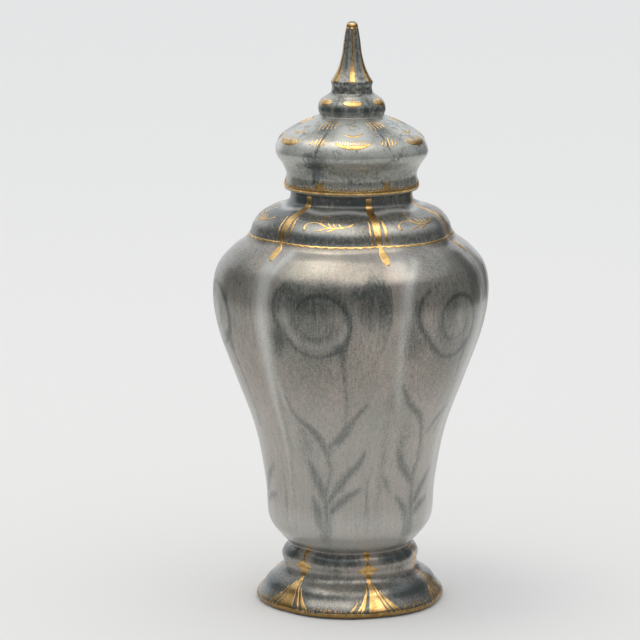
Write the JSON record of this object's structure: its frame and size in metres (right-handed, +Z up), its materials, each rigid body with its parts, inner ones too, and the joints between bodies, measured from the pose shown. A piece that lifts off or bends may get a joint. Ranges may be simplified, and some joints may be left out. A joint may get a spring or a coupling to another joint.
{
  "type": "lidded mantel urn",
  "caption": "Hollow lobed ceramic mantel urn on a spreading foot, with a loose domed lid and spire, sponged grey glaze and painted gilding.",
  "frame": {"origin": "centre of the foot's underside, on the surface that the urn stands on", "axes": "+Z up through the mouth and the spire; one lobe of the body faces -Y"},
  "size_m": [0.175, 0.1814, 0.38],
  "materials": {
    "body_glaze": "glossy grey-taupe glaze with slate sponging, brushed streaks and soft painted scrolls and leaves",
    "lid_glaze": "glossy pale grey glaze with slate sponging and dark crackle in the valleys",
    "gilding": "burnished gold lustre, brushed on over the glaze"
  },
  "bodies": {
    "root": {"urn_body": "body_glaze", "urn_lid": "lid_glaze"}
  },
  "joints": []
}
